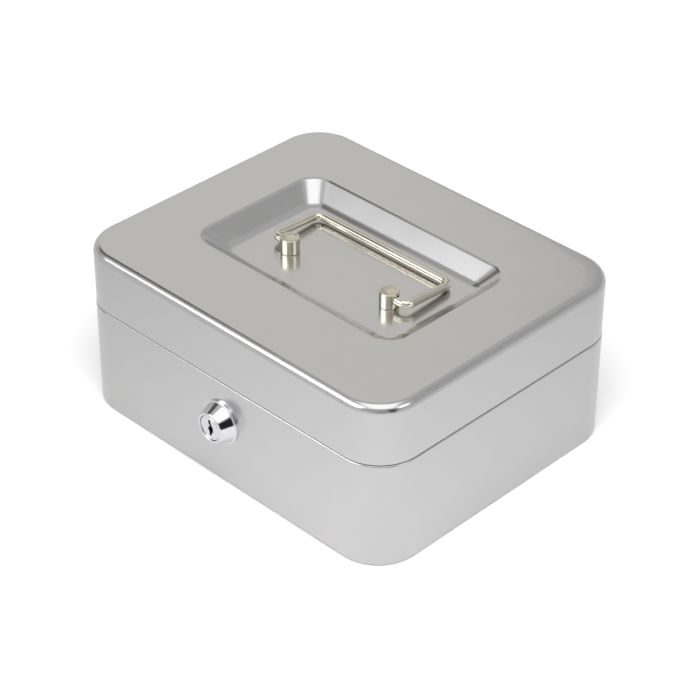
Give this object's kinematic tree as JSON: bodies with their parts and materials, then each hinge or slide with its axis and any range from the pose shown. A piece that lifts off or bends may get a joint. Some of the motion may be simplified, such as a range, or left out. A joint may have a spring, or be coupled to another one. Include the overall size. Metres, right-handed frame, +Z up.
{
  "type": "cash box",
  "caption": "Lockable sheet-steel cash box with a hinged lid, recessed folding wire handle, front cam lock and lift-out plastic coin tray.",
  "frame": {"origin": "centre of the flat underside of the box body, midway between its side walls and between its front and rear walls", "axes": "+X runs to the right along the front wall, +Y runs from the lock at the front to the hinges at the rear, +Z is up"},
  "size_m": [0.2, 0.1728, 0.087],
  "materials": {
    "silver_lacquer": "fine satin silver metallic lacquer under clear gloss",
    "nickel": "bright warm nickel plate",
    "chrome": "polished chrome plate",
    "zinc_plate": "dull zinc-plated steel",
    "wafer_brass": "stamped brass",
    "black_plastic": "finely textured black injection-moulded plastic"
  },
  "bodies": {
    "box": {"box_body": "silver_lacquer", "hinge_body_leaf_left": "zinc_plate", "hinge_body_leaf_right": "zinc_plate", "hinge_pin_left": "zinc_plate", "hinge_pin_right": "zinc_plate", "body_rivet_1": "zinc_plate", "body_rivet_2": "zinc_plate", "body_rivet_3": "zinc_plate", "body_rivet_4": "zinc_plate", "lock_housing": "chrome", "lock_nut": "zinc_plate"},
    "lid": {"lid_shell": "silver_lacquer", "lid_strike": "zinc_plate", "hinge_lid_leaf_left": "zinc_plate", "hinge_lid_leaf_right": "zinc_plate", "lid_rivet_1": "zinc_plate", "lid_rivet_2": "zinc_plate", "lid_rivet_3": "zinc_plate", "lid_rivet_4": "zinc_plate", "handle_post_left": "nickel", "handle_post_right": "nickel", "post_screw_left": "zinc_plate", "post_screw_right": "zinc_plate", "post_washer_left": "zinc_plate", "post_washer_right": "zinc_plate"},
    "handle": {"carry_handle": "nickel"},
    "lock_cylinder": {"lock_plug": "chrome", "lock_wafer_1": "wafer_brass", "lock_wafer_2": "wafer_brass", "lock_wafer_3": "wafer_brass", "lock_wafer_4": "wafer_brass", "lock_cam": "zinc_plate", "lock_cam_screw": "zinc_plate"},
    "tray": {"coin_tray": "black_plastic"}
  },
  "joints": [
    {"name": "lid_hinge", "type": "hinge", "parent": "box", "child": "lid", "pos_m": [0, 0.082, 0.0558], "axis": [-1, 0, 0], "range_deg": [0, 100]},
    {"name": "handle_pivot", "type": "hinge", "parent": "lid", "child": "handle", "pos_m": [0, -0.0055, 0.082], "axis": [1, 0, 0], "range_deg": [0, 165]},
    {"name": "lock_turn", "type": "hinge", "parent": "box", "child": "lock_cylinder", "pos_m": [0, -0.081, 0.0342], "axis": [0, 1, 0], "range_deg": [0, 90]},
    {"name": "tray_lift", "type": "slide", "parent": "box", "child": "tray", "axis": [0, 0, 1], "range_m": [0, 0.06]}
  ],
  "couplings": [
    {"joint": "tray_lift", "follows": "lid_hinge", "m_per_rad": 0.034}
  ]
}
